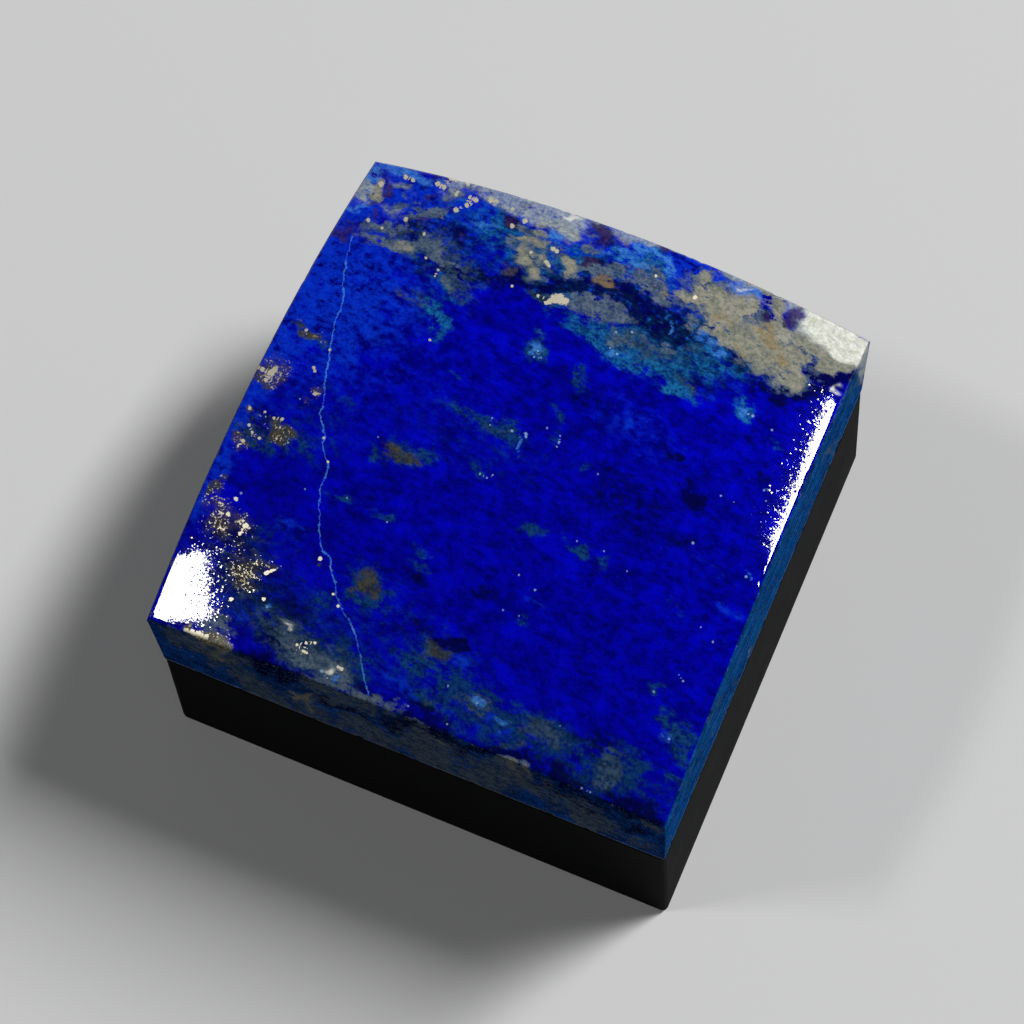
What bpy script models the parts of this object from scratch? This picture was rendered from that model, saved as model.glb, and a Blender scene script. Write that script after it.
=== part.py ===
"""A key top of lapis lazuli: a square polished stone with a domed top, bonded to a black block.

Metres, +Z up. The origin is the centre of the block's underside. The flattest of the stone's four
top edges is its front edge, and it faces -Y.
"""

from math import radians

import bmesh
import bpy

# Driving dimensions
SIDE = 0.018  # the stone's plan, and the plan of the block where they meet, both square
BLOCK_HEIGHT = 0.0061
BLOCK_FLARE = 0.0002  # how far each wall of the block leans out by its foot
STONE_CORNER_HEIGHT = 0.0038  # from the joint up to the stone's four top corners
FRONT_EDGE_RISE = 0.00065  # how far the middle of a top edge stands above the corners
BACK_EDGE_RISE = 0.0015
SIDE_EDGE_RISE = 0.0015

# Details
JOINT_GAP = 0.0003  # the layer of adhesive, left empty
STONE_EDGE_BREAK = 0.00012
BLOCK_EDGE_BREAK = 0.00018
EDGE_BREAK_STEPS = 2
DOME_STEPS = 26  # faces along each side of the domed top
SHARP_ANGLE = radians(30)

HALF = SIDE / 2


def clear_scene():
    for thing in list(bpy.data.objects):
        bpy.data.objects.remove(thing, do_unlink=True)


def new_collection(name):
    collection = bpy.data.collections.new(name)
    bpy.context.scene.collection.children.link(collection)
    return collection


def principled_material(name, colour, roughness, coat=0.0):
    material = bpy.data.materials.new(name)
    material.use_nodes = True
    shader = material.node_tree.nodes["Principled BSDF"]
    shader.inputs["Base Color"].default_value = (*colour, 1.0)
    shader.inputs["Roughness"].default_value = roughness
    shader.inputs["Metallic"].default_value = 0.0
    shader.inputs["Coat Weight"].default_value = coat
    material.diffuse_color = (*colour, 1.0)
    return material


def add_part(name, bm, material, edge_break, collection):
    """Makes the bmesh an object whose sharp edges are broken by a small rounded bevel."""
    mesh = bpy.data.meshes.new(name)
    bmesh.ops.recalc_face_normals(bm, faces=bm.faces)
    bm.to_mesh(mesh)
    bm.free()
    mesh.shade_smooth()
    mesh.set_sharp_from_angle(angle=SHARP_ANGLE)
    mesh.materials.append(material)
    part = bpy.data.objects.new(name, mesh)
    collection.objects.link(part)
    bevel = part.modifiers.new("edge_break", "BEVEL")
    bevel.width = edge_break
    bevel.segments = EDGE_BREAK_STEPS
    bevel.limit_method = "ANGLE"
    bevel.angle_limit = SHARP_ANGLE
    return part


def dome_rise(x, y):
    """Height above the stone's top corners: each edge is a parabola, and the four blend inwards."""
    across = x / HALF
    along = y / HALF
    edge_rise = FRONT_EDGE_RISE * (1 - along) / 2 + BACK_EDGE_RISE * (1 + along) / 2
    return edge_rise * (1 - across**2) + SIDE_EDGE_RISE * (1 - along**2)


def make_block(collection):
    """The black block: a short square prism whose walls lean out a little towards the foot."""
    bm = bmesh.new()
    bmesh.ops.create_cube(bm, size=1.0)
    bmesh.ops.scale(bm, vec=(SIDE, SIDE, BLOCK_HEIGHT), verts=bm.verts)
    bmesh.ops.translate(bm, vec=(0, 0, BLOCK_HEIGHT / 2), verts=bm.verts)
    foot = [corner for corner in bm.verts if corner.co.z < BLOCK_HEIGHT / 2]
    flare = (HALF + BLOCK_FLARE) / HALF
    bmesh.ops.scale(bm, vec=(flare, flare, 1), verts=foot)
    black = principled_material("satin_black", (0.012, 0.012, 0.013), 0.42)
    return add_part("black_base", bm, black, BLOCK_EDGE_BREAK, collection)


def make_stone(collection):
    """The stone: a sheet over the square plan, raised to the dome, with upright walls below it."""
    bm = bmesh.new()
    bmesh.ops.create_grid(bm, x_segments=DOME_STEPS, y_segments=DOME_STEPS, size=HALF)
    top = list(bm.verts)
    rim = [edge for edge in bm.edges if edge.is_boundary]
    walls = bmesh.ops.extrude_edge_only(bm, edges=rim)["geom"]
    for point in top:
        point.co.z = BLOCK_HEIGHT + STONE_CORNER_HEIGHT + dome_rise(point.co.x, point.co.y)
    for point in [item for item in walls if isinstance(item, bmesh.types.BMVert)]:
        point.co.z = BLOCK_HEIGHT + JOINT_GAP
    open_rim = [edge for edge in bm.edges if edge.is_boundary]
    bmesh.ops.holes_fill(bm, edges=open_rim)
    lapis = principled_material("polished_lapis", (0.004, 0.012, 0.42), 0.12, coat=0.5)
    return add_part("lapis_stone", bm, lapis, STONE_EDGE_BREAK, collection)


def main():
    clear_scene()
    collection = new_collection("lapis_key_top")
    make_block(collection)
    make_stone(collection)


main()
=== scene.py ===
# %% [markdown]
# # A key top of lapis lazuli
#
# The part is a square, polished slab of lapis lazuli with a domed top, bonded to a black block.
# Lapis is a rock of several minerals: deep blue lazurite, white calcite, grey-green diopside and
# brassy pyrite. A picture could paint them, but then the pattern would stop at the edge of the
# picture. Here each mineral is a list of places on a finely meshed stone, and noise breaks up the
# rims of those places, so that the pattern is crisp at any distance.

from math import cos, pi, radians, sin

import bmesh
import bpy
import numpy as np
from mathutils import Matrix, Vector, noise


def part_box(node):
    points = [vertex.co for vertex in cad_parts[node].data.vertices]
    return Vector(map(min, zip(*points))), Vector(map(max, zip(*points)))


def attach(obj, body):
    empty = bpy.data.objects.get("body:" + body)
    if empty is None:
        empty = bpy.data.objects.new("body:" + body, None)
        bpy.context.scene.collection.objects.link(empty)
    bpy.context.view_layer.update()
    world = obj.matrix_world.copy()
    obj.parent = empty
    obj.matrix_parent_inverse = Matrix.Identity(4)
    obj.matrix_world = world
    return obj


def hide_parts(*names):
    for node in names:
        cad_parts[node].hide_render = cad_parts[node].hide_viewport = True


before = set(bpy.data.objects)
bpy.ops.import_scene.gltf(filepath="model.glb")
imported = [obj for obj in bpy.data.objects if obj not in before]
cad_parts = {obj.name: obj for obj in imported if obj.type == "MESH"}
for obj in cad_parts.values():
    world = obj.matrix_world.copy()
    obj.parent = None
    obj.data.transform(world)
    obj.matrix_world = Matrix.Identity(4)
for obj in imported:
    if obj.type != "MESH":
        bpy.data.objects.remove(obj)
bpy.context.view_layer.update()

# %% [markdown]
# ## The camera
#
# The camera looks down steeply on the front left of the stone. It is placed by an angle round the
# object, an angle above it, a roll and a distance from the point that it looks at. The same numbers
# say where any point of the stone lands in a square picture, and the markings below are placed by
# that.

# %% The camera
MM = 0.001
PICTURE_SIDE = 1024
FOCAL_PIXELS = 2907.4
SENSOR_MM = 36.0
CAMERA_AZIMUTH = radians(29.02)
CAMERA_ELEVATION = radians(68.22)
CAMERA_ROLL = radians(-6.22)
CAMERA_DISTANCE = 104.99 * MM
AIM = Vector((-1.494, 2.365, 0)) * MM

ahead = Vector((
    -sin(CAMERA_AZIMUTH) * cos(CAMERA_ELEVATION),
    cos(CAMERA_AZIMUTH) * cos(CAMERA_ELEVATION),
    -sin(CAMERA_ELEVATION),
))
level = ahead.cross(Vector((0, 0, 1))).normalized()
upright = level.cross(ahead)
rightward = level * cos(CAMERA_ROLL) + upright * sin(CAMERA_ROLL)
upward = upright * cos(CAMERA_ROLL) - level * sin(CAMERA_ROLL)
eye = AIM - ahead * CAMERA_DISTANCE

camera_data = bpy.data.cameras.new("camera")
camera_data.sensor_width = SENSOR_MM
camera_data.lens = SENSOR_MM * FOCAL_PIXELS / PICTURE_SIDE
camera_data.clip_start = 1 * MM
camera = bpy.data.objects.new("camera", camera_data)
turn = Matrix((rightward, upward, -ahead)).transposed()
camera.matrix_world = Matrix.Translation(eye) @ turn.to_4x4()
bpy.context.scene.collection.objects.link(camera)
bpy.context.scene.camera = camera
print("camera at", [round(1000 * place, 1) for place in eye], "lens", round(camera_data.lens, 1))


def picture_place(points):
    """Column and row, in pixels of the square picture, where points of the stone land."""
    offset = points - np.array(eye)
    depth = offset @ np.array(ahead)
    column = PICTURE_SIDE / 2 + FOCAL_PIXELS * (offset @ np.array(rightward)) / depth
    row = PICTURE_SIDE / 2 - FOCAL_PIXELS * (offset @ np.array(upward)) / depth
    return column, row


# %% [markdown]
# ## Floor and light
#
# A polished dome mirrors what is above it. Two soft boxes hang just outside what the middle of the
# dome mirrors, so that only one corner and one edge catch a bright reflection and the rest keeps its
# deep colour. The boxes are described on a ceiling over the stone: a place there is a direction. The
# floor is a wide pale dish whose rim rises, so that low views meet no edge of it.

# %% Floor and light
CEILING = 0.9
BOX_RADIANCE = 42.0


def soft_box(name, shape, place, size, angle, radiance):
    """An area light on the ceiling plane, its place and size in ceiling heights, its angle from X."""
    data = bpy.data.lights.new(name, "AREA")
    data.shape = shape
    data.size = size[0] * CEILING
    data.size_y = size[1] * CEILING
    area = data.size * data.size_y * (pi / 4 if shape == "ELLIPSE" else 1)
    data.energy = radiance * area * pi
    lamp = bpy.data.objects.new(name, data)
    lamp.location = (place[0] * CEILING, place[1] * CEILING, CEILING)
    lamp.rotation_euler = (0, 0, radians(angle))
    bpy.context.scene.collection.objects.link(lamp)
    return lamp


soft_box("back_right_box", "RECTANGLE", (0.605, 0.80), (0.25, 0.86), -13.0, BOX_RADIANCE)
soft_box("left_box", "RECTANGLE", (-0.668, -0.325), (0.13, 0.21), 24.0, BOX_RADIANCE)

world = bpy.data.worlds.new("dim_room")
world.use_nodes = True
world.node_tree.nodes["Background"].inputs["Color"].default_value = (0.8, 0.9, 1.0, 1.0)
world.node_tree.nodes["Background"].inputs["Strength"].default_value = 0.02
bpy.context.scene.world = world
bpy.context.scene.view_settings.view_transform = "Standard"

# %% [markdown]
# ## A short hand for shader nodes
#
# A finish is a formula, and a few helpers let the script write it as one. Colours are named by the
# display values that a painter would pick, and turned into the linear values that a shader needs.

# %% Helpers for materials


def shade(red, green, blue):
    """A linear colour from display values between 0 and 255."""
    values = [channel / 255 for channel in (red, green, blue)]
    linear = [v / 12.92 if v <= 0.04045 else ((v + 0.055) / 1.055) ** 2.4 for v in values]
    return (*linear, 1.0)


class Finish:
    """A material, with methods that add one shader node each and hand back its output."""

    def __init__(self, name):
        self.material = bpy.data.materials.new(name)
        self.material.use_nodes = True
        self.tree = self.material.node_tree
        self.shader = self.tree.nodes["Principled BSDF"]

    def node(self, kind, inputs, output=0, **settings):
        made = self.tree.nodes.new(kind)
        for name, value in settings.items():
            setattr(made, name, value)
        for socket, value in inputs.items():
            self.feed(made.inputs[socket], value)
        return made.outputs[output]

    def feed(self, socket, value):
        if isinstance(value, bpy.types.NodeSocket):
            self.tree.links.new(value, socket)
        else:
            socket.default_value = value

    def set(self, **inputs):
        for name, value in inputs.items():
            self.feed(self.shader.inputs[name.replace("_", " ")], value)

    def math(self, operation, first, second=0.0, third=0.0):
        inputs = {0: first, 1: second, 2: third}
        return self.node("ShaderNodeMath", inputs, operation=operation)

    def dot(self, vector, axis):
        return self.node("ShaderNodeVectorMath", {0: vector, 1: axis}, "Value", operation="DOT_PRODUCT")

    def length(self, vector):
        return self.node("ShaderNodeVectorMath", {0: vector}, "Value", operation="LENGTH")

    def vector(self, x, y, z):
        return self.node("ShaderNodeCombineXYZ", {0: x, 1: y, 2: z})

    def step(self, value, low, high):
        """0 below low, 1 above high, and a smooth rise between."""
        inputs = {"Value": value, "From Min": low, "From Max": high}
        return self.node("ShaderNodeMapRange", inputs, interpolation_type="SMOOTHSTEP")

    def span(self, value, low, high):
        """Stretches a value from 0 to 1 onto low to high."""
        inputs = {"Value": value, "To Min": low, "To Max": high}
        return self.node("ShaderNodeMapRange", inputs)

    def noise(self, vector, scale, detail=2.0, roughness=0.5, output="Fac"):
        inputs = {"Vector": vector, "Scale": scale, "Detail": detail, "Roughness": roughness}
        return self.node("ShaderNodeTexNoise", inputs, output)

    def cells(self, vector, scale, output="Distance"):
        return self.node("ShaderNodeTexVoronoi", {"Vector": vector, "Scale": scale}, output)

    def channels(self, colour):
        split = self.node("ShaderNodeSeparateColor", {0: colour}).node
        return split.outputs[0], split.outputs[1], split.outputs[2]

    def mix(self, amount, under, over):
        inputs = {0: amount, 6: under, 7: over}
        return self.node("ShaderNodeMix", inputs, 2, data_type="RGBA")

    def attribute(self, name, output="Fac"):
        return self.node("ShaderNodeAttribute", {}, output, attribute_name=name)

    def millimetres(self):
        place = self.node("ShaderNodeTexCoord", {}, "Object")
        inputs = {0: place, "Scale": 1 / MM}
        return self.node("ShaderNodeVectorMath", inputs, operation="SCALE")


# %% [markdown]
# ## The floor
#
# The floor is a disc extruded twice at its rim, outwards and up, into a shallow dish.

# %% The floor
FLOOR_RADIUS = 1.5
FLOOR_RIM_RADIUS = 2.2
FLOOR_RIM_HEIGHT = 0.7
FLOOR_SIDES = 96


def make_floor():
    bm = bmesh.new()
    bmesh.ops.create_circle(bm, cap_ends=True, radius=FLOOR_RADIUS, segments=FLOOR_SIDES)
    rim = [edge for edge in bm.edges if edge.is_boundary]
    grown = bmesh.ops.extrude_edge_only(bm, edges=rim)["geom"]
    wall = [item for item in grown if isinstance(item, bmesh.types.BMVert)]
    spread = FLOOR_RIM_RADIUS / FLOOR_RADIUS
    bmesh.ops.scale(bm, vec=(spread, spread, 1), verts=wall)
    bmesh.ops.translate(bm, vec=(0, 0, FLOOR_RIM_HEIGHT), verts=wall)
    bmesh.ops.recalc_face_normals(bm, faces=bm.faces)
    mesh = bpy.data.meshes.new("floor")
    bm.to_mesh(mesh)
    bm.free()
    floor = bpy.data.objects.new("floor", mesh)
    bpy.context.scene.collection.objects.link(floor)
    return floor


floor = make_floor()
floor_finish = Finish("pale_floor")
floor_finish.set(Base_Color=(0.62, 0.62, 0.62, 1), Roughness=0.9, Specular_IOR_Level=0.1)
floor.data.materials.append(floor_finish.material)
print("floor:", len(floor.data.polygons), "faces")

# %% [markdown]
# ## The shape of the stone
#
# The slab is cut square and its top is ground to a low dome. Each top edge is an arc, the front one
# flatter than the other three. A grid is raised to the dome, its rim is rolled over a small rounded
# edge and then drawn down in rings to the foot, which gives every face of the stone small, even
# quads to hold the markings.

# %% The shape of the stone
stone_low, stone_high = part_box("lapis_stone")
block_low, block_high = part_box("black_base")
HALF = stone_high.x
FOOT = block_high.z
CORNER_HEIGHT = 9.9 * MM
FRONT_EDGE_RISE = 0.65 * MM
BACK_EDGE_RISE = 1.5 * MM
SIDE_EDGE_RISE = 1.5 * MM
EDGE_BREAK = 0.10 * MM
EDGE_BREAK_STEPS = 3
UPRIGHT_EDGE_BREAK = 0.07 * MM
TOP_STEPS = 240
WALL_STEPS = 24


def dome_height(x, y):
    across = x / HALF
    along = y / HALF
    edge_rise = FRONT_EDGE_RISE * (1 - along) / 2 + BACK_EDGE_RISE * (1 + along) / 2
    return CORNER_HEIGHT + edge_rise * (1 - across**2) + SIDE_EDGE_RISE * (1 - along**2)


def extrude_rim(bm):
    """Grows one ring of faces from the open rim, and returns the ring's new points."""
    rim = [edge for edge in bm.edges if edge.is_boundary]
    grown = bmesh.ops.extrude_edge_only(bm, edges=rim)["geom"]
    return [item for item in grown if isinstance(item, bmesh.types.BMVert)]


def chip(place, reach, depth):
    """How far a knocked edge is set back at a place: mostly nothing, here and there a bite."""
    broad = noise.noise(place / reach)
    fine = noise.noise(place / (reach * 0.35) + Vector((7, 3, 5)))
    return depth * max(0.0, broad + 0.5 * fine - 0.25)


def make_stone():
    bm = bmesh.new()
    flat_half = HALF - EDGE_BREAK
    bmesh.ops.create_grid(bm, x_segments=TOP_STEPS, y_segments=TOP_STEPS, size=flat_half)
    for point in bm.verts:
        point.co.z = dome_height(point.co.x, point.co.y)
    for ring in range(1, EDGE_BREAK_STEPS + 1):
        angle = pi / 2 * ring / EDGE_BREAK_STEPS
        spread = flat_half + EDGE_BREAK * sin(angle)
        points = extrude_rim(bm)
        width = max(abs(point.co.x) for point in points)
        bmesh.ops.scale(bm, vec=(spread / width, spread / width, 1), verts=points)
        for point in points:
            drop = EDGE_BREAK * (1 - cos(angle))
            point.co.z = dome_height(point.co.x, point.co.y) - drop
    for ring in range(1, WALL_STEPS + 1):
        for point in extrude_rim(bm):
            top = dome_height(point.co.x, point.co.y) - EDGE_BREAK
            point.co.z = top + (FOOT - top) * ring / WALL_STEPS
    foot_rim = [edge for edge in bm.edges if edge.is_boundary]
    bmesh.ops.holes_fill(bm, edges=foot_rim)
    corner = HALF - 0.001 * MM
    upright_edges = [
        edge for edge in bm.edges
        if all(abs(end.co.x) > corner and abs(end.co.y) > corner for end in edge.verts)
    ]
    bmesh.ops.bevel(
        bm, geom=upright_edges, offset=UPRIGHT_EDGE_BREAK, segments=2, profile=0.5,
        affect="EDGES", material=-1, clamp_overlap=True,
    )
    bmesh.ops.recalc_face_normals(bm, faces=bm.faces)
    knock_edges(bm)
    mesh = bpy.data.meshes.new("lapis_slab")
    bm.to_mesh(mesh)
    bm.free()
    return mesh


def knock_edges(bm):
    """Sets the top and foot edges back where they are chipped, most along the back edge."""
    for point in bm.verts:
        x, y, z = point.co
        side = max(abs(x), abs(y))
        from_top = max(HALF - side, dome_height(x, y) - z)
        from_foot = max(HALF - side, z - FOOT)
        if from_top < 0.2 * MM:
            depth = 0.10 * MM if y > HALF - 0.3 * MM else 0.035 * MM
            bite = chip(point.co, 0.6 * MM, depth) * (1 - from_top / (0.2 * MM))
            point.co.z -= bite
            point.co.x -= bite * (x > HALF - 0.2 * MM) - bite * (x < 0.2 * MM - HALF)
            point.co.y -= bite * (y > HALF - 0.2 * MM) - bite * (y < 0.2 * MM - HALF)
        elif from_foot < 0.25 * MM:
            bite = chip(point.co, 0.5 * MM, 0.09 * MM) * (1 - from_foot / (0.25 * MM))
            point.co.x -= bite * (x > HALF - 0.2 * MM) - bite * (x < 0.2 * MM - HALF)
            point.co.y -= bite * (y > HALF - 0.2 * MM) - bite * (y < 0.2 * MM - HALF)


stone_mesh = make_stone()
stone_mesh.calc_loop_triangles()
print("stone:", len(stone_mesh.vertices), "points,", len(stone_mesh.loop_triangles), "triangles")

# %% [markdown]
# ## Where the minerals are
#
# Each mineral has a table of blotches: column and row of the middle in the picture, half length,
# half width, strength, and the tilt of its long side below the row. Most lie along the bedding of
# the rock, about 30 degrees down to the right. A negative strength cuts a hole. A blotch is near 1
# inside, one half at its rim and fades outside, and the noise in the finish moves the rim about.

# %% The blotches of each mineral, and a few of painted light
# A few blotches below are painted light, not minerals: the haze on the back rim and the lighter left rim are partly
# painted reflection, and one cream spot is a painted highlight.
BEDDING_TILT = 30

BRIGHT_BLUE = {
    "scatter": [
        (470, 225, 150, 34, 0.5, 22), (690, 285, 120, 30, 0.5, 30), (650, 262, 60, 16, 0.5, 25),
        (300, 620, 100, 50, 0.3, 40), (560, 760, 160, 26, 0.3, 25), (400, 380, 180, 120, 0.2),
    ],
    # The left rim blotches make the left edge a lighter azure: partly the rock's own blue, partly a painted reflection
    # of a bright room in the rolled rim.
    "left rim": [(322, 258, 62, 14, 0.9, 117), (262, 372, 66, 13, 0.8, 117), (207, 482, 60, 11, 0.7, 117)],
    "back left": [(345, 300, 80, 38, 0.65, 117), (400, 300, 60, 30, 0.3, 117)],
    "back band": [
        (358, 209, 15, 7, 1.0, 0), (424, 190, 17, 7, 0.9, 10), (394, 200, 12, 6, 0.7), (485, 225, 20, 11, 0.9),
        (519, 210, 15, 5, 0.8), (560, 242, 14, 6, 0.9), (645, 262, 38, 12, 0.9), (720, 288, 14, 6, 0.9, 50),
        (796, 300, 14, 6, 0.9), (700, 312, 14, 8, 0.6), (708, 352, 24, 16, 0.6), (590, 230, 8, 5, 0.8),
        (757, 312, 6, 5, 0.7), (612, 238, 16, 8, 0.6), (700, 262, 22, 5, 0.7, 27), (770, 281, 14, 4, 0.4),
    ],
    "body": [
        (290, 530, 9, 7, 0.6), (537, 602, 12, 5, 0.6, 50), (400, 690, 20, 9, 0.7, 60), (460, 667, 8, 6, 0.7),
        (500, 720, 12, 7, 0.9), (235, 610, 26, 18, 0.6), (738, 612, 14, 8, 0.5), (713, 395, 10, 6, 0.5),
        (637, 418, 5, 5, 0.6), (640, 430, 60, 25, 0.3),
    ],
}

TEAL = {
    "scatter": [
        (540, 250, 130, 30, 0.45, 25), (690, 345, 80, 26, 0.42, 25), (440, 262, 60, 30, 0.4, 30),
    ],
    "back band": [
        (424, 303, 9, 7, 0.7), (434, 318, 17, 9, 0.85, 50), (560, 301, 24, 11, 0.8, 5), (640, 262, 42, 12, 0.7),
        (661, 256, 9, 5, 0.9), (622, 352, 22, 12, 0.85), (652, 348, 24, 11, 0.8), (702, 352, 27, 18, 0.95),
        (682, 390, 20, 9, 0.85), (714, 358, 9, 9, 0.9), (744, 412, 12, 8, 0.85), (776, 443, 9, 7, 0.4, 50),
        (600, 336, 40, 9, 0.6, 22), (448, 287, 9, 7, 0.7), (668, 372, 26, 6, 0.55), (500, 232, 14, 9, 0.5),
        (533, 255, 24, 16, 0.6), (575, 262, 20, 12, 0.5), (740, 350, 40, 22, 0.5, 20),
    ],
}

MOSS = {
    "middle": [
        (472, 411, 26, 6, 0.7), (505, 432, 19, 11, 0.85), (558, 417, 13, 5, 0.7), (579, 380, 11, 7, 0.8, -35),
        (587, 464, 7, 6, 0.6, 60), (537, 354, 15, 10, 0.85, 45), (559, 438, 6, 8, 0.55, 60), (481, 475, 10, 6, 0.5),
        (531, 528, 11, 8, 0.85), (561, 535, 7, 4, 0.6), (573, 548, 12, 6, 0.75), (601, 560, 9, 5, 0.7),
        (521, 618, 8, 6, 0.6), (538, 335, 7, 6, 0.6, 50), (690, 560, 13, 4, 0.35), (716, 575, 12, 4, 0.35),
        (675, 608, 18, 5, 0.4, 40), (455, 374, 6, 3, 0.6),
    ],
    "left": [
        (384, 516, 16, 5, 0.75), (330, 390, 10, 5, 0.45), (347, 408, 13, 8, 0.4), (376, 459, 7, 4, 0.7),
        (338, 495, 15, 5, 0.6), (422, 571, 12, 6, 0.6), (429, 552, 8, 5, 0.5), (325, 605, 13, 8, 0.6),
        (265, 611, 11, 8, 0.9), (282, 445, 34, 8, 0.6, 10), (250, 432, 16, 12, 0.4), (428, 458, 10, 5, 0.7),
        (372, 598, 15, 8, 0.8, 10), (402, 458, 20, 13, 0.6), (365, 588, 17, 15, 0.55), (312, 338, 14, 8, 0.5),
    ],
    "front": [
        (420, 665, 15, 9, 0.8), (440, 658, 14, 12, 0.5), (451, 686, 7, 5, 0.7), (428, 706, 15, 10, 0.8),
        (449, 728, 14, 5, 0.7), (492, 746, 9, 5, 0.6), (572, 746, 11, 7, 0.6), (582, 771, 13, 8, 0.7),
        (631, 773, 13, 9, 0.9), (681, 744, 20, 14, 0.95, 60), (665, 720, 11, 4, 0.6), (678, 788, 7, 6, 0.7),
        (654, 692, 8, 5, 0.7), (478, 706, 24, 13, 0.8), (540, 726, 27, 16, 0.9), (607, 772, 20, 20, 0.85),
        (500, 725, 14, 9, 0.5), (345, 672, 22, 14, 0.7), (300, 650, 34, 15, 0.7), (648, 822, 16, 8, 0.5),
    ],
    "scatter": [
        (300, 425, 60, 40, 0.3), (420, 640, 110, 40, 0.3, 40), (480, 440, 120, 40, 0.25), (240, 560, 50, 50, 0.4),
        (560, 752, 150, 22, 0.42, 25), (300, 640, 70, 30, 0.5, 30), (660, 352, 90, 26, 0.5, 20),
    ],
}

SLATE = {
    "back left corner": [
        (451, 197, 12, 9, 0.95, 45), (409, 193, 9, 4, 0.95, -10), (400, 208, 13, 4, 0.9, 10),
        (363, 224, 10, 5, 0.4), (364, 186, 9, 14, 0.8, 27), (418, 205, 8, 4, 0.5),
    ],
    "left of the band": [
        (383, 221, 17, 5, 1.0, 3), (431, 218, 22, 5, 1.0, -6), (396, 241, 32, 8, 1.0, 6), (437, 256, 17, 7, 0.95, 52),
        (454, 258, 5, 3, 0.8), (448, 288, 8, 6, 0.75), (400, 288, 7, 4, 0.5),
    ],
    "middle of the band": [
        (528, 231, 14, 8, 1.0, 20), (528, 246, 18, 5, 1.0, -5), (530, 263, 14, 12, 1.0), (568, 263, 16, 10, 1.0, 45),
        (600, 275, 20, 6, 0.95, 25), (620, 273, 16, 7, 0.9, 20), (588, 242, 9, 6, 0.9), (504, 206, 18, 5, 0.7),
        (655, 284, 25, 9, 1.0, 38), (585, 307, 17, 9, 1.0, 8), (607, 314, 27, 13, 1.1, 15), (691, 324, 6, 5, 0.9),
    ],
    "right of the band": [
        (739, 279, 14, 5, 0.95, 25), (617, 343, 14, 6, 0.6), (648, 346, 16, 5, 0.6), (664, 344, 10, 6, 0.75),
        (704, 281, 11, 7, 1.0, 20), (711, 300, 30, 16, 1.1, 30), (772, 346, 46, 28, 1.1, 18), (785, 374, 18, 10, 1.0, 20),
        (836, 364, 14, 7, 1.0, 10),
    ],
    "front left": [
        (289, 625, 10, 4, 1.0, 8), (288, 636, 14, 6, 0.7), (309, 656, 23, 11, 1.0, 25), (334, 677, 13, 7, 0.9),
        (213, 625, 12, 9, 0.9), (226, 634, 10, 5, 0.5),
    ],
    "front wall": [
        (170, 638, 14, 6, 1.0, 35), (197, 647, 28, 6, 0.8, 26), (220, 655, 28, 9, 1.1, 24), (265, 696, 32, 10, 1.1, 34),
        (320, 717, 22, 9, 1.0, 34), (345, 697, 44, 9, 1.1, 20), (305, 700, 24, 3, 0.7, 22), (371, 736, 28, 11, 1.1, 25),
        (430, 750, 36, 12, 1.1, 22), (487, 780, 28, 12, 1.0, 30), (519, 776, 32, 9, 1.1, 33), (586, 814, 32, 14, 1.2, 30),
        (651, 828, 18, 5, 0.8, 24), (640, 845, 20, 3, 0.7, 24),
    ],
    "right wall": [(748, 656, 12, 2, 1.0, 117), (738, 678, 14, 2, 0.9, 117), (714, 718, 26, 1.5, 0.9, 117),
        (836, 450, 12, 2, 0.9, 112), (858, 376, 6, 18, 1.0, 10), (812, 505, 12, 2, 0.4, 117)],
}

TAN = {
    "back left corner": [(380, 190, 9, 8, 0.95, 60), (452, 197, 8, 5, 0.5)],
    "band": [
        (530, 263, 11, 10, 0.85), (568, 263, 14, 8, 0.95, 50), (529, 245, 16, 4, 0.9, -5), (557, 222, 20, 7, 1.0, 18),
        (397, 241, 22, 5, 0.6, 5), (655, 284, 20, 5, 0.45, 38), (537, 232, 8, 6, 0.6),
    ],
    "great patch": [
        (705, 280, 9, 5, 0.7, 20), (706, 297, 25, 12, 1.1, 25), (728, 312, 26, 15, 1.3, 30), (742, 334, 34, 16, 1.3, 15),
        (775, 345, 36, 22, 1.4, 18), (800, 342, 30, 22, 1.3, 10), (757, 293, 18, 6, 0.9, 25), (787, 372, 19, 9, 1.1, 15),
        (832, 358, 24, 10, 1.2, 15), (778, 308, 12, 9, 1.1), (757, 318, 10, 10, -1.0, 60), (796, 315, 10, 10, -0.9),
        (697, 312, 13, 8, -0.9, 35), (722, 290, 13, 5, -0.8, 50), (731, 330, 4, 2, -0.9), (812, 373, 10, 10, -0.9),
        (760, 385, 12, 8, -0.8),
    ],
    "front left": [(198, 633, 15, 5, 1.1, 20), (214, 641, 18, 4, 0.9, 22), (314, 662, 14, 5, 0.4)],
    "front wall": [(300, 696, 22, 3, 0.8, 20), (222, 655, 20, 5, 0.6, 24), (520, 772, 26, 5, 0.6, 33), (440, 748, 20, 6, 0.5, 22)],
}

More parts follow.
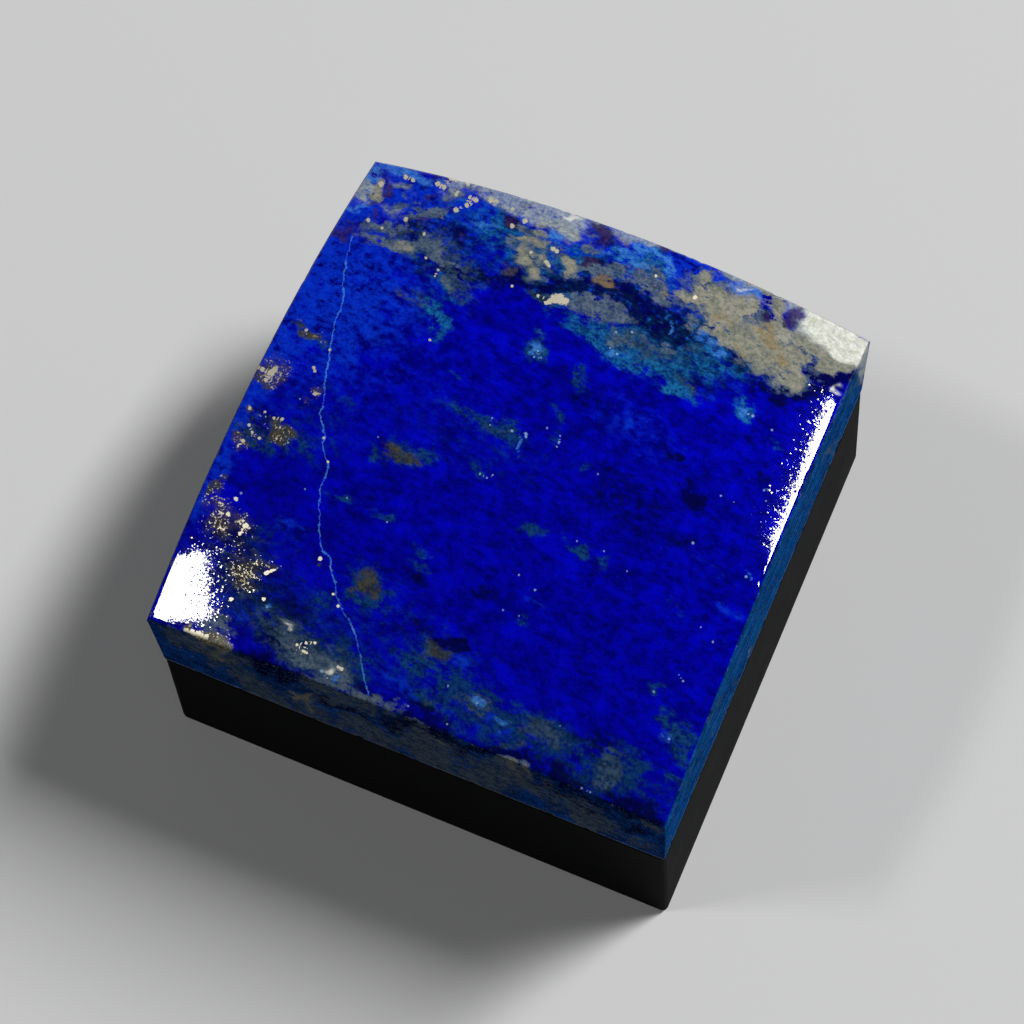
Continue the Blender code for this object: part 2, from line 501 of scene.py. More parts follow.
SMOKE = {
    "scatter": [
        (450, 262, 60, 22, 0.34, 30), (290, 645, 70, 24, 0.45, 30), (235, 555, 40, 40, 0.35),
    ],
    "front rosettes": [
        (477, 705, 17, 9, 1.0, 15), (541, 728, 21, 13, 1.1, 25), (608, 771, 13, 17, 1.2, -20), (511, 742, 8, 6, 0.8),
        (428, 707, 13, 9, 0.7), (437, 657, 14, 10, 0.8), (366, 586, 13, 12, 0.7), (406, 458, 17, 9, 0.8),
    ],
    "left": [
        (288, 434, 17, 10, 0.8), (312, 336, 15, 7, 0.8, 15), (214, 487, 14, 9, 0.6, 117), (288, 632, 17, 11, 0.9, 8),
        (312, 654, 28, 14, 0.9, 25), (332, 678, 18, 10, 0.9), (250, 428, 22, 12, 0.5), (247, 575, 22, 16, 0.5),
    ],
    "band": [
        (454, 286, 14, 9, 0.7), (400, 288, 12, 6, 0.6), (420, 300, 12, 12, 0.5), (500, 432, 16, 8, 0.5),
        (640, 348, 40, 9, 0.7, 15), (690, 350, 20, 9, 0.5), (545, 302, 18, 9, 0.6),
        (530, 275, 16, 6, 0.6), (445, 250, 26, 12, 0.5, 40), (395, 235, 36, 12, 0.5), (690, 384, 26, 7, 0.6),
    ],
}

# Pale haze along the back rim and at the back corners: partly a pale mineral, partly a painted reflection of a bright
# room in the rim that slopes towards it.
HAZE_AND_RIM_REFLECTION = {
    "back rim": [
        (462, 184, 20, 7, 0.9, 15), (503, 194, 34, 8, 1.2, 22), (492, 199, 16, 7, 0.9), (562, 213, 36, 9, 1.2, 20),
        (556, 221, 18, 8, 0.9), (592, 221, 8, 5, 0.9, 27), (640, 239, 34, 4, 1.0, 25), (745, 282, 22, 6, 0.9, 25),
        (770, 287, 24, 8, 1.1, 28), (806, 306, 24, 8, 1.1, 32), (520, 203, 26, 6, 0.9, 20),
    ],
    "left": [(362, 188, 12, 14, 1.0, 27), (404, 192, 14, 5, 0.5), (392, 208, 14, 5, 0.5), (450, 198, 12, 9, 0.5)],
    "corner": [(815, 330, 24, 12, 0.7, 35)],
}

CREAM = {
    "back rim": [(575, 217, 14, 4, 0.7, 22), (790, 296, 20, 4, 0.7, 28)],
    "back right corner": [
        (838, 330, 34, 15, 1.4, 38), (852, 345, 18, 12, 1.3, 20), (822, 330, 16, 12, 0.9, 40), (786, 332, 8, 6, 0.3),
        # Painted highlight: the small white blotch at (838, 389) stands where a lamp's reflection falls.
        (838, 389, 5, 4, 1.0),
    ],
    "left": [(322, 670, 7, 3, 1.0, 10), (289, 626, 9, 2, 0.9, 8)],
    "band": [(742, 293, 7, 3, 0.6, 20)],
    "right wall": [(748, 656, 10, 1.5, 0.7, 117), (860, 372, 5, 14, 0.9, 10)],
}

SKY = {
    "back left corner": [(402, 170, 36, 7, 1.1, 13), (358, 207, 12, 4, 0.6, 0), (376, 172, 12, 8, 0.8)],
    "back band": [
        (552, 235, 8, 6, 1.0), (640, 250, 22, 7, 0.95, 15), (603, 249, 7, 6, 0.9), (741, 294, 12, 7, 0.95),
        (714, 358, 7, 6, 0.7), (627, 262, 12, 6, 0.6), (665, 268, 16, 6, 0.75), (668, 321, 2, 5, 0.8, 30),
        (480, 228, 14, 5, 0.5, 10), (706, 340, 16, 8, 0.5), (781, 296, 10, 3, 0.5),
    ],
    "body": [
        (537, 350, 12, 6, 0.75, 45), (744, 413, 8, 4, 0.85), (540, 335, 5, 4, 0.6, 60), (617, 353, 5, 3, 0.7),
        (265, 609, 6, 5, 0.7), (525, 447, 9, 1.5, 0.8, 95), (537, 603, 9, 2, 0.5, 50), (745, 577, 6, 2, 0.8, 60),
        (503, 720, 8, 4, 0.6), (478, 703, 7, 3, 0.8), (328, 678, 5, 3, 0.6), (665, 745, 8, 8, 0.4),
    ],
}

OLIVE = {
    "left spots": [
        (397, 455, 7, 11, 1.1, 100), (409, 459, 14, 5, 0.9, 15), (365, 582, 6, 8, 1.1, 80), (369, 590, 11, 7, 0.9, 15),
        (440, 657, 11, 8, 1.1, 40), (420, 302, 5, 5, 0.7), (311, 336, 11, 5, 0.9, 15), (399, 287, 7, 4, 0.7),
        (509, 269, 5, 4, 0.9), (265, 382, 10, 8, 0.6), (287, 434, 12, 7, 1.0, 15), (241, 441, 8, 6, 0.7),
        (250, 408, 5, 4, 0.8), (321, 560, 4, 3, 0.9),
    ],
    "corners": [(214, 487, 12, 7, 0.7, 117), (222, 518, 12, 10, 0.5), (243, 573, 14, 12, 0.55), (678, 790, 4, 3, 0.6)],
}

OCHRE = {
    "great patch": [(740, 352, 5, 3, 1.0, 60), (768, 337, 10, 6, 0.8), (773, 358, 10, 7, 0.8), (728, 318, 14, 9, 0.45)],
    "band": [(533, 204, 5, 2, 1.0, 20), (611, 288, 11, 4, 1.1, 15), (669, 289, 4, 3, 0.8), (624, 237, 4, 3, 0.6)],
    "front left": [(198, 633, 13, 4, 0.9, 20)],
}

VIOLET = {
    "band": [
        (342, 238, 11, 8, 0.9), (356, 222, 10, 6, 0.5), (394, 192, 6, 4, 0.9), (376, 212, 5, 3, 0.7),
        (426, 224, 7, 4, 0.8), (433, 199, 6, 4, 0.7), (461, 240, 5, 4, 0.5), (511, 224, 10, 9, 1.2, 40),
        (605, 234, 12, 8, 1.2, 15), (672, 255, 10, 4, 1.0, 15), (759, 321, 9, 7, 0.9, 60), (797, 316, 9, 9, 0.9),
        (788, 324, 4, 4, 0.9), (590, 262, 9, 5, 0.8), (585, 258, 6, 4, 0.6), (478, 194, 6, 4, 0.4),
    ],
    "left rim": [(291, 318, 12, 5, 0.5, 117), (275, 350, 12, 4, 0.4, 117), (350, 232, 12, 8, 0.4)],
}

NAVY = {
    "scatter": [
        (500, 258, 180, 40, 0.40, 22), (690, 330, 120, 50, 0.42, 30), (280, 625, 80, 44, 0.46, 30),
        (420, 712, 30, 6, 0.8, 30), (505, 753, 28, 8, 0.9, 25), (562, 773, 28, 9, 1.0, 25), (640, 806, 30, 7, 0.9, 25),
        (592, 742, 22, 8, 0.5, 25), (352, 690, 12, 10, 0.7),
        (620, 500, 200, 120, 0.3), (560, 745, 180, 26, 0.4, 25), (260, 520, 60, 110, 0.35, 20),
    ],
    "body": [
        (697, 498, 14, 9, 1.2, 40), (675, 456, 10, 5, 0.8), (628, 505, 36, 22, 0.4), (414, 581, 11, 7, 0.6),
        (420, 630, 15, 7, 0.6), (485, 596, 15, 9, 0.6), (640, 815, 20, 8, 0.7, 22), (575, 396, 10, 7, 0.6),
        (450, 646, 10, 6, 1.0), (610, 470, 20, 8, 0.35), (680, 540, 9, 5, 0.6), (762, 470, 6, 5, 0.6),
        (400, 560, 20, 6, 0.4), (390, 630, 24, 6, 0.4), (588, 800, 34, 8, 0.6, 22), (440, 735, 34, 7, 0.6, 22),
        (372, 700, 10, 8, 0.5), (505, 522, 24, 16, 0.25), (585, 610, 20, 10, 0.4, 40), (545, 700, 30, 8, 0.3),
        (270, 640, 10, 8, 0.7), (300, 615, 14, 8, 0.3), (230, 535, 22, 12, 0.6), (240, 572, 22, 18, 0.5),
        (600, 395, 20, 10, 0.3), (265, 425, 20, 14, 0.5), (390, 400, 40, 20, 0.2), (375, 345, 20, 12, 0.35),
    ],
    "band": [
        (832, 374, 22, 10, 1.1, 15), (778, 390, 22, 9, 0.9, 10), (452, 272, 12, 7, 0.7), (470, 272, 20, 7, 0.9, 25),
        (560, 287, 44, 6, 0.9, 8), (407, 228, 14, 5, 0.9, 5), (674, 324, 13, 7, 1.2), (592, 262, 11, 6, 0.8),
        (648, 324, 26, 7, 0.7, 20), (420, 268, 20, 7, 0.5), (606, 234, 15, 10, 0.6), (512, 224, 15, 12, 0.7),
        (455, 235, 16, 8, 0.5), (545, 300, 16, 9, 0.6), (650, 305, 16, 8, 0.6, 30), (700, 385, 24, 7, 0.4), (650, 308, 30, 10, 0.9, 30), (560, 284, 50, 7, 0.8, 10),
        (757, 320, 11, 10, 0.8, 60), (802, 385, 22, 9, 0.8, 10), (735, 365, 16, 9, 0.5, 10),
    ],
    "front wall": [
        (275, 671, 34, 6, 1.0, 20), (340, 708, 26, 3, 1.1, 24), (425, 735, 40, 4, 1.0, 22), (350, 690, 30, 2, 0.6, 24),
        (480, 752, 30, 3, 0.9, 22), (550, 790, 30, 3, 0.8, 26), (462, 777, 18, 4, 0.8, 25), (640, 836, 26, 5, 0.7, 22),
    ],
}
MINERALS_AND_PAINTED_LIGHT = {
    "navy": NAVY, "bright_blue": BRIGHT_BLUE, "moss": MOSS, "teal": TEAL, "smoke": SMOKE, "slate": SLATE, "tan": TAN,
    "ochre": OCHRE, "sky": SKY, "haze_and_rim_reflection": HAZE_AND_RIM_REFLECTION, "cream": CREAM, "olive": OLIVE, "violet": VIOLET,
}
print({name: sum(len(group) for group in table.values()) for name, table in MINERALS_AND_PAINTED_LIGHT.items()})

# %% [markdown]
# ## Pyrite, pale dots and the vein
#
# Pyrite lies in the stone as small bright flecks, each given by its place and radius, and as dust,
# which is a blotch table of its own. The pale dots are grains of calcite. One hair-thin pale vein
# crosses the stone from the back to the front, and is a chain of points.

# %% Flecks, dots and the vein
PYRITE_FLECKS = {
    "great flake": [(550, 301, 3.6), (554, 299, 5.0), (560, 299, 6.2), (565, 301, 4.6), (546, 303, 2.4)],
    "back left": [
        (381, 184, 3.4), (406, 177, 2.6), (413, 180, 2.4), (438, 184, 3.4), (444, 187, 3.0), (451, 178, 3.0),
        (457, 179, 3.4), (468, 184, 2.4), (456, 195, 2.2), (470, 197, 2.2), (476, 200, 3.4), (491, 200, 3.6),
        (497, 201, 2.4), (467, 205, 2.8), (456, 210, 3.2), (406, 219, 2.8), (382, 228, 1.8), (424, 234, 2.0),
        (426, 258, 1.6), (438, 270, 1.8), (435, 276, 1.5), (368, 220, 2.4), (458, 192, 1.8), (513, 209, 2.0),
    ],
    "back middle": [
        (512, 226, 2.8), (525, 221, 3.0), (531, 252, 2.2), (553, 249, 3.0), (557, 251, 2.4), (546, 262, 2.6),
        (549, 266, 2.0), (512, 286, 1.8), (538, 296, 2.0), (695, 297, 3.0), (512, 209, 1.8), (656, 276, 1.8),
    ],
    "left": [
        (306, 330, 2.0), (314, 368, 2.2), (315, 371, 2.0), (271, 373, 4.6), (275, 369, 3.2), (262, 369, 3.0),
        (266, 380, 2.4), (258, 367, 2.2), (250, 408, 2.6), (274, 418, 2.0), (282, 419, 2.2), (265, 412, 1.5),
        (249, 425, 1.8), (252, 432, 1.6), (259, 438, 2.0), (243, 441, 2.4), (238, 446, 1.6), (315, 394, 2.4),
        (236, 499, 2.4), (228, 514, 2.6), (246, 526, 3.8), (240, 534, 2.2), (231, 599, 2.4), (264, 599, 2.2),
        (266, 573, 2.6), (271, 571, 2.0), (275, 570, 1.6), (333, 594, 1.8), (338, 606, 2.0), (320, 559, 2.6),
        (430, 340, 1.6), (324, 438, 1.6), (330, 350, 1.8), (328, 462, 1.8),
    ],
    "front": [
        (306, 643, 2.0), (315, 643, 1.8), (303, 651, 1.8), (307, 653, 1.6), (338, 667, 2.0), (342, 669, 2.2),
        (297, 645, 1.8), (192, 632, 3.4), (199, 634, 3.6), (206, 637, 3.2), (186, 630, 2.4),
    ],
}

CALCITE_DOTS = {
    "middle": [
        (512, 431, 2.2), (526, 434, 2.6), (526, 437, 2.0), (547, 428, 1.8), (560, 436, 1.5), (559, 442, 1.8),
        (557, 447, 1.5), (538, 351, 1.6), (534, 357, 1.6), (541, 358, 1.5), (480, 474, 1.6), (487, 478, 1.4),
        (493, 475, 1.4), (598, 474, 1.8), (577, 541, 1.4), (604, 551, 1.4), (519, 575, 1.8), (535, 590, 1.8),
        (503, 610, 1.7), (519, 616, 1.3), (627, 571, 1.5), (492, 418, 1.3), (490, 425, 1.3),
    ],
    "right": [
        (693, 543, 2.2), (764, 490, 1.7), (768, 490, 1.5), (766, 501, 1.5), (746, 577, 2.2), (721, 496, 1.6),
        (734, 502, 1.2), (772, 430, 1.8), (753, 416, 2.4), (748, 414, 1.6), (679, 675, 1.4), (683, 681, 1.6),
        (713, 642, 1.8), (701, 627, 1.3), (616, 332, 1.7), (632, 332, 1.8), (617, 354, 2.0), (610, 348, 1.4),
    ],
    "front": [
        (669, 739, 1.8), (582, 788, 2.0), (590, 792, 1.4), (448, 686, 1.8), (477, 703, 2.4), (654, 692, 1.8),
        (408, 706, 1.6), (322, 671, 2.8), (327, 678, 1.6), (267, 607, 1.7), (560, 726, 1.2), (447, 724, 1.6),
    ],
    "left": [(387, 522, 1.5), (347, 498, 1.5), (300, 399, 1.4), (241, 493, 1.8), (305, 489, 1.4), (378, 437, 1.2)],
}

PYRITE_DUST = {
    "left rim": [
        (270, 374, 13, 12, 0.95, 0), (312, 336, 13, 6, 0.5, 15), (315, 394, 6, 6, 0.8), (250, 408, 5, 4, 0.6),
        (287, 434, 13, 9, 0.7), (241, 441, 8, 7, 0.75), (258, 425, 24, 16, 0.2), (214, 487, 15, 8, 0.75, 117),
    ],
    "left corner": [
        (222, 518, 15, 11, 0.9, 100), (247, 526, 10, 9, 0.9), (177, 557, 9, 6, 0.7), (244, 572, 17, 13, 0.9, 40),
        (162, 579, 5, 5, 0.6), (269, 573, 8, 5, 0.6), (155, 608, 13, 4, 0.8, 112), (198, 633, 16, 4, 1.0, 18),
        (300, 648, 18, 6, 0.35), (225, 545, 32, 28, 0.22), (205, 637, 20, 5, 0.5, 20),
    ],
}

VEIN = [
    (352, 236), (346, 262), (343, 282), (344, 300), (339, 313), (335, 322), (331, 343), (330, 350), (328, 365),
    (325, 380), (324, 401), (320, 413), (322, 423), (325, 437), (322, 444), (324, 453), (328, 462), (327, 473),
    (320, 489), (319, 506), (320, 520), (318, 530), (321, 545), (323, 552), (330, 557), (331, 567), (335, 583),
    (337, 597), (343, 611), (352, 626), (357, 642), (361, 660), (364, 680), (368, 695),
]

# %% [markdown]
# ## From places to fields
#
# The tables are in picture coordinates, so each point of the mesh first learns where it lands in the
# picture. The left and back walls face away, and there the rock carries on the markings of the top
# beside them: such a point looks up a place on the top as far in as the point is down, slid a little
# along the bedding. The results are stored on the points, and the finish reads them by name.

# %% Fields on the points
FOLD_SLIDE = Vector((-0.08, -0.45, 0))
FAR = 40.0

points = np.array([point.co for point in stone_mesh.vertices])
rim_height = dome_height(points[:, 0], points[:, 1])
depth_down = np.clip(rim_height - points[:, 2], 0, None)
on_left = (points[:, 0] < -HALF + 0.02 * MM) & (depth_down > EDGE_BREAK)
on_back = (points[:, 1] > HALF - 0.02 * MM) & (depth_down > EDGE_BREAK)
on_right = (points[:, 0] > HALF - 0.02 * MM) & (depth_down > 0.5 * EDGE_BREAK) & ~on_back
on_front = (points[:, 1] < -HALF + 0.02 * MM) & (depth_down > 0.5 * EDGE_BREAK) & ~on_left

look_up = points.copy()
folded = on_left | on_back
look_up[on_left, 0] += 0.8 * depth_down[on_left]
look_up[on_back, 1] -= 0.8 * depth_down[on_back]
look_up[folded, :2] += depth_down[folded, None] * np.array(FOLD_SLIDE)[:2] * (1 - on_back[folded, None])
look_up[folded, 2] = dome_height(look_up[folded, 0], look_up[folded, 1])
column, row = picture_place(look_up)


# Two places in the noise, so that the two shifts differ. noise.noise_vector would give both at once,
# but it is seeded by the clock, and the stone would come out differently on every run.
EAST_PLACE = Vector((29.2, 81.0, 21.5))
SOUTH_PLACE = Vector((50.9, 63.0, 41.5))


def wander(reach, amount):
    """A smooth random shift of every point, in pixels, longer along the bedding than across it."""
    lean = radians(BEDDING_TILT)
    along = (column * cos(lean) + row * sin(lean)) / (1.5 * reach)
    aside = (row * cos(lean) - column * sin(lean)) / reach
    spots = [Vector((a, b, reach)) for a, b in zip(along, aside)]
    east = np.array([noise.noise(spot + EAST_PLACE) for spot in spots])
    south = np.array([noise.noise(spot + SOUTH_PLACE) for spot in spots])
    return amount * east, amount * south


broad_x, broad_y = wander(26, 13.0)
small_x, small_y = wander(8, 7.0)
frayed_column = column + broad_x + small_x
frayed_row = row + broad_y + small_y


def blotch_field(table):
    """1 inside the blotches, one half at their rims and 0 away, with the cuts taken out."""
    clear = np.ones(len(column))
    kept = np.ones(len(column))
    for blotches in table.values():
        for x, y, length, width, strength, *tilt in blotches:
            angle = radians(tilt[0] if tilt else BEDDING_TILT)
            along = (frayed_column - x) * cos(angle) + (frayed_row - y) * sin(angle)
            aside = (frayed_row - y) * cos(angle) - (frayed_column - x) * sin(angle)
            reach = (along / length) ** 2 + (aside / width) ** 2
            cover = strength / (1 + reach**2)
            if strength > 0:
                clear *= 1 - np.clip(cover, 0, 1)
            else:
                kept *= 1 + np.clip(cover, -1, 0)
    return (1 - clear) * kept


def dot_offsets(table):
    """For each point, the way from the nearest dot in dot radii, or a far value off the dots."""
    dots = np.array([dot for group in table.values() for dot in group])
    offset_x = (column[:, None] - dots[:, 0]) / dots[:, 2]
    offset_y = (row[:, None] - dots[:, 1]) / dots[:, 2]
    apart = np.hypot(offset_x, offset_y)
    nearest = (apart * dots[:, 2] - dots[:, 2]).argmin(axis=1)
    rows = np.arange(len(column))
    mesh_step = 3.2
    reach = 1 + mesh_step / dots[nearest, 2]
    off = np.where(apart[rows, nearest] > reach, FAR, 0)
    return np.stack([offset_x[rows, nearest], offset_y[rows, nearest], off], axis=1)


def vein_offset(chain):
    """For each point, how far it lies beside and beyond the nearest piece of the vein, in pixels."""
    nearest = np.full(len(column), np.inf)
    offset = np.zeros((len(column), 3))
    for (x0, y0), (x1, y1) in zip(chain, chain[1:]):
        run = np.hypot(x1 - x0, y1 - y0)
        along = ((column - x0) * (x1 - x0) + (row - y0) * (y1 - y0)) / run
        aside = ((column - x0) * (y1 - y0) - (row - y0) * (x1 - x0)) / run
        beyond = along - np.clip(along, 0, run)
        gap = np.hypot(aside, beyond)
        closer = gap < nearest
        nearest[closer] = gap[closer]
        offset[closer, 0] = aside[closer]
        offset[closer, 1] = beyond[closer]
    offset[folded, 1] = FAR
    return offset


def store(name, kind, values):
    layer = stone_mesh.attributes.new(name, kind, "POINT")
    layer.data.foreach_set("vector" if kind == "FLOAT_VECTOR" else "value", values.astype(np.float32).ravel())


for name, table in MINERALS_AND_PAINTED_LIGHT.items():
    store(name, "FLOAT", blotch_field(table))
store("dust", "FLOAT", blotch_field(PYRITE_DUST))
store("flecks", "FLOAT_VECTOR", dot_offsets(PYRITE_FLECKS))
store("dots", "FLOAT_VECTOR", dot_offsets(CALCITE_DOTS))
store("vein", "FLOAT_VECTOR", vein_offset(VEIN))
store("right_wall", "FLOAT", on_right.astype(float))
store("front_wall", "FLOAT", on_front.astype(float))
print("fields:", [layer.name for layer in stone_mesh.attributes if not layer.name.startswith(".")])

# %% [markdown]
# ## The colour of the rock
#
# The rock is laid in beds that lean back, and its minerals are drawn out along them. So the noise is
# read in three directions of the rock, strike, dip and across the beds, and squeezed across. Every
# mineral is a veil over the blue. Its share is its field multiplied by noise and cut at one half,
# which frays the rims and tears holes, and thin places stay half clear. The grain inside each
# mineral is a mix of a dark and a light tone by finer noise.

# %% The colour of the rock
STRIKE = (0.985, -0.172, 0.0)
DIP = (0.077, 0.434, -0.898)
ACROSS_BEDS = (0.150, 0.884, 0.442)
BED_SQUEEZE = 1.7

BODY_BLUES = {"deep": shade(0, 0, 98), "bright": shade(1, 1, 180), "vivid": shade(1, 3, 208)}
WALL_BLUES = {"deep": shade(3, 34, 84), "bright": shade(10, 74, 158), "vivid": shade(8, 92, 200)}
NAVY_BLACK = shade(1, 3, 34)
AZURE = shade(8, 62, 214)
SKY_BLUE = shade(78, 142, 216)
VEIN_BLUE = shade(70, 140, 230)
DOT_WHITE = shade(150, 186, 222)

# Each veil: its field, dark and light tone, frayed by how much noise, softness of the rim, opacity
VEILS = [
    ("bright_blue", shade(2, 34, 178), AZURE, 6.0, 0.35, 0.75),
    ("moss", shade(2, 20, 66), shade(22, 76, 108), 6.0, 0.32, 0.80),
    ("teal", shade(4, 44, 92), shade(30, 118, 168), 6.0, 0.25, 0.80),
    ("navy", NAVY_BLACK, shade(1, 3, 60), 5.0, 0.30, 0.90),
    ("smoke", shade(16, 38, 64), shade(58, 80, 102), 6.0, 0.22, 0.90),
    ("slate", shade(42, 64, 90), shade(98, 112, 126), 5.5, 0.15, 0.92),
    ("tan", shade(100, 106, 98), shade(150, 147, 132), 4.5, 0.12, 1.00),
    ("ochre", shade(104, 92, 60), shade(160, 134, 84), 8.0, 0.40, 0.60),
    ("sky", shade(20, 86, 190), SKY_BLUE, 6.0, 0.30, 0.70),
    # The haze veil is partly a painted reflection along the back rim.
    ("haze_and_rim_reflection", shade(96, 116, 144), shade(166, 176, 180), 4.0, 0.40, 0.80),
    # The cream veil also holds one painted highlight beside its cream blotches.
    ("cream", shade(186, 186, 172), shade(226, 228, 220), 3.0, 0.35, 1.00),
    ("olive", shade(22, 32, 40), shade(78, 72, 50), 8.0, 0.30, 0.75),
    ("violet", shade(22, 12, 62), shade(62, 44, 88), 5.0, 0.30, 0.80),
]
DUST_UNDER = shade(66, 60, 44)
PYRITE_DARK = shade(120, 106, 74)
PYRITE_LIGHT = shade(238, 230, 206)


def frayed(finish, field, ragged, amount, soft):
    """The share of a mineral: its field times noise, cut softly at one half."""
    stretch = finish.math("MULTIPLY_ADD", ragged, amount, 1 - amount / 2)
    return finish.step(finish.math("MULTIPLY", field, stretch), 0.5 - soft, 0.5 + soft)


def paint_rock(finish, blues):
    """Base colour, the share of pyrite, the place in millimetres and a fine noise."""
    place = finish.millimetres()
    beds = finish.vector(
        finish.dot(place, STRIKE), finish.dot(place, DIP),
        finish.math("MULTIPLY", finish.dot(place, ACROSS_BEDS), BED_SQUEEZE),
    )
    coarse = finish.channels(finish.noise(beds, 0.9, 4.0, 0.6, "Color"))
    ragged = finish.channels(finish.noise(beds, 2.4, 6.0, 0.72, "Color"))
    ragged_too = finish.channels(finish.noise(beds, 3.4, 6.0, 0.72, "Color"))
    grain = finish.channels(finish.noise(place, 9.0, 3.0, 0.7, "Color"))
    noises = [*ragged, *ragged_too]

    colour = finish.mix(finish.step(ragged[0], 0.30, 0.68), blues["deep"], blues["bright"])
    swells = finish.math("MULTIPLY", finish.step(coarse[0], 0.48, 0.68), 0.6)
    colour = finish.mix(swells, colour, blues["vivid"])
    hollows = finish.math("MULTIPLY", finish.step(coarse[1], 0.52, 0.70), 0.5)
    colour = finish.mix(hollows, colour, blues["deep"])
    specks = finish.math("MULTIPLY", finish.step(grain[0], 0.52, 0.70), 0.55)
    colour = finish.mix(specks, colour, blues["deep"])
    sparks = finish.math("MULTIPLY", finish.step(grain[1], 0.62, 0.76), 0.22)
    colour = finish.mix(sparks, colour, AZURE)

    for turn, (name, dark, light, amount, soft, opacity) in enumerate(VEILS):
        field = finish.attribute(name)
        share = frayed(finish, field, noises[turn % len(noises)], amount, soft)
        clear = finish.math("MINIMUM", finish.math("MULTIPLY_ADD", field, 1.1, 0.1), opacity)
        tone = finish.math("ADD", grain[turn % 3], finish.math("MULTIPLY", noises[(turn + 2) % len(noises)], 1.2))
        tone = finish.mix(finish.step(tone, 0.85, 1.35), dark, light)
        colour = finish.mix(finish.math("MULTIPLY", share, clear), colour, tone)

    off_line = finish.attribute("vein", "Vector")
    wobble = finish.vector(finish.math("MULTIPLY_ADD", ragged_too[0], 9.0, -4.5), 0.0, 0.0)
    gap = finish.length(finish.node("ShaderNodeVectorMath", {0: off_line, 1: wobble}, operation="ADD"))
    width = finish.math("MAXIMUM", finish.math("MULTIPLY_ADD", ragged[1], 5.0, -1.95), 0.25)
    vein = finish.math("SUBTRACT", 1.0, finish.step(finish.math("DIVIDE", gap, width), 0.5, 1.3))
    pale = finish.mix(finish.step(ragged[2], 0.55, 0.68), VEIN_BLUE, DOT_WHITE)
    colour = finish.mix(finish.math("MULTIPLY", vein, 0.65), colour, pale)

    jag = finish.math("MULTIPLY_ADD", grain[2], 1.6, -0.8)
    dot_edge = finish.math("ADD", finish.length(finish.attribute("dots", "Vector")), jag)
    dots = finish.math("SUBTRACT", 1.0, finish.step(dot_edge, 0.2, 0.85))
    colour = finish.mix(finish.math("MULTIPLY", dots, 0.7), colour, DOT_WHITE)

    dust_field = finish.attribute("dust")
    under = frayed(finish, dust_field, ragged_too[1], 3.0, 0.3)
    colour = finish.mix(finish.math("MULTIPLY", under, 0.55), colour, DUST_UNDER)
    fine = finish.channels(finish.noise(place, 13.0, 2.0, 0.6, "Color"))
    crumbs = finish.math("ADD", finish.math("MULTIPLY", fine[0], 0.6), finish.math("MULTIPLY", ragged[0], 0.4))
    crumbs = finish.math("ADD", crumbs, finish.math("MULTIPLY", dust_field, 0.13))
    dust = finish.math("MULTIPLY", finish.step(crumbs, 0.64, 0.67), finish.step(dust_field, 0.1, 0.3))
    fleck_edge = finish.math("ADD", finish.length(finish.attribute("flecks", "Vector")), jag)
    fleck = finish.math("SUBTRACT", 1.0, finish.step(fleck_edge, 0.7, 0.95))
    pyrite = finish.math("MAXIMUM", dust, fleck)
    bright = finish.math("MAXIMUM", finish.step(fine[1], 0.38, 0.6), finish.math("MULTIPLY", fleck, 0.85))
    glint = finish.mix(bright, PYRITE_DARK, PYRITE_LIGHT)
    colour = finish.mix(pyrite, colour, glint)
    return colour, pyrite, place, fine[2]


# %% [markdown]
# ## Polish and ground walls
#
# The top has a mirror polish with the finest of pits, which break the rim of a bright reflection
# into sparks. The four walls are only ground: they are duller, show fine lines along the wall and
# are chipped pale at the foot. Their colour is darkened towards black as painted shade, and their
# pale specks are partly grit and partly painted sparkle. The two finishes share the rock and differ
# in the shader's own values.

# %% Finishes of the stone


def polished_lapis():
    finish = Finish("polished_lapis")
    colour, pyrite, place, fine = paint_rock(finish, BODY_BLUES)
    facet = finish.cells(place, 22.0, "Color")
    facet = finish.node("ShaderNodeVectorMath", {0: facet, 1: (0.5, 0.5, 0.5)}, operation="SUBTRACT")
    rare = finish.math("MULTIPLY", finish.math("POWER", finish.length(facet), 3.0), 0.085)
    tilt = finish.node("ShaderNodeVectorMath", {0: facet, "Scale": rare}, operation="SCALE")
    upright = finish.node("ShaderNodeNewGeometry", {}, "Normal")
    normal = finish.node("ShaderNodeVectorMath", {0: upright, 1: tilt}, operation="ADD")
    normal = finish.node("ShaderNodeVectorMath", {0: normal}, operation="NORMALIZE")
    finish.set(Base_Color=colour, Normal=normal, Roughness=finish.span(pyrite, 0.03, 0.4))
    finish.set(Metallic=finish.math("MULTIPLY", pyrite, 0.5), Specular_IOR_Level=0.5)
    return finish.material


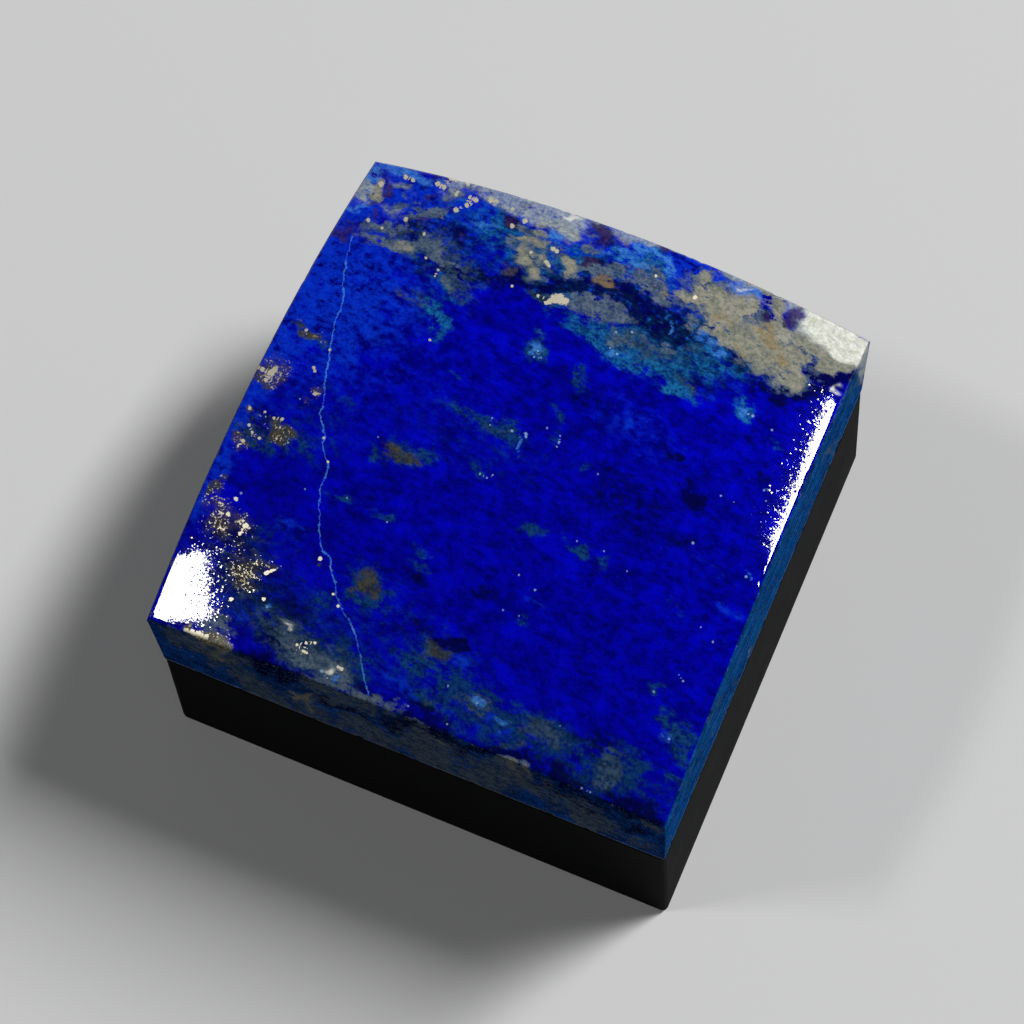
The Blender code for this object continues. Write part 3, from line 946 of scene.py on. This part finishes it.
def ground_lapis_with_painted_shade():
    finish = Finish("ground_lapis_with_painted_shade")
    colour, pyrite, place, fine = paint_rock(finish, WALL_BLUES)
    right = finish.attribute("right_wall")
    streaks = finish.noise(finish.vector(
        finish.math("MULTIPLY", finish.dot(place, (1, 0, 0)), 0.8),
        finish.math("MULTIPLY", finish.dot(place, (0, 1, 0)), 0.5),
        finish.math("MULTIPLY", finish.dot(place, (0, 0, 1)), 6.0),
    ), 1.6, 4.0, 0.7)
    paler = finish.math("MULTIPLY", right, finish.step(streaks, 0.44, 0.60))
    colour = finish.mix(finish.math("MULTIPLY", paler, 0.6), colour, shade(16, 124, 206))
    colour = finish.mix(finish.math("MULTIPLY", finish.step(streaks, 0.50, 0.36), 0.45), colour, NAVY_BLACK)
    # Painted shade: the wall colour is mixed 45% towards black, so that the walls look as dim as walls turned from the
    # lamps.
    colour = finish.mix(0.45, colour, (0.0, 0.0, 0.0, 1.0))
    # Pale specks: partly grit of the rock, partly painted sparkle in place of the glints that these walls, which
    # reflect nothing, don't give.
    grit_and_painted_sparkle = finish.math("MULTIPLY", finish.step(fine, 0.60, 0.68), 0.25)
    colour = finish.mix(grit_and_painted_sparkle, colour, shade(150, 156, 156))
    up = finish.dot(place, (0, 0, 1))
    chipped = finish.math("ADD", finish.math("MULTIPLY", fine, 0.5), FOOT / MM - 0.14)
    pale_foot = finish.step(finish.math("SUBTRACT", chipped, up), 0.0, 0.06)
    colour = finish.mix(finish.math("MULTIPLY", pale_foot, 0.5), colour, shade(110, 116, 118))
    height = finish.math("ADD", streaks, finish.math("MULTIPLY", finish.noise(place, 12.0, 2.0), 0.6))
    bump = finish.node("ShaderNodeBump", {"Strength": 1.0, "Distance": 0.006 * MM, "Height": height})
    finish.set(Base_Color=colour, Normal=bump, Roughness=0.6, Specular_IOR_Level=0.0)
    finish.set(Metallic=finish.math("MULTIPLY", pyrite, 0.5))
    return finish.material


stone_mesh.materials.append(polished_lapis())
stone_mesh.materials.append(ground_lapis_with_painted_shade())
POLISHED_SLOPE = 0.75
for face in stone_mesh.polygons:
    face.material_index = 0 if face.normal.z > POLISHED_SLOPE else 1
stone_mesh.shade_smooth()
stone_mesh.set_sharp_from_angle(angle=radians(50))
slab = bpy.data.objects.new("lapis_slab", stone_mesh)
bpy.context.scene.collection.objects.link(slab)
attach(slab, "root")
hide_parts("lapis_stone")
print("stone finished with", len(stone_mesh.materials), "materials")

# %% [markdown]
# ## The black block
#
# The block is a short square prism with broken edges, sanded from top to foot. Its shape in the
# frame is right, so it stays, and only its finish is made here: a satin black with fine upright
# lines that show where the light grazes it.

# %% The black block


def sanded_black():
    finish = Finish("sanded_black")
    place = finish.millimetres()
    lines = finish.noise(finish.vector(
        finish.math("MULTIPLY", finish.dot(place, (1, 0, 0)), 6.0),
        finish.math("MULTIPLY", finish.dot(place, (0, 1, 0)), 6.0),
        finish.math("MULTIPLY", finish.dot(place, (0, 0, 1)), 0.3),
    ), 1.5, 3.0, 0.6)
    blotches = finish.noise(place, 0.7, 3.0, 0.5)
    colour = finish.mix(blotches, shade(8, 9, 11), shade(15, 16, 18))
    bump = finish.node("ShaderNodeBump", {"Strength": 1.0, "Distance": 0.004 * MM, "Height": lines})
    finish.set(Base_Color=colour, Normal=bump, Roughness=finish.span(blotches, 0.5, 0.62))
    finish.set(Specular_IOR_Level=0.01)
    return finish.material


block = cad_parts["black_base"]
block.data.materials.clear()
block.data.materials.append(sanded_black())
print("block finished")
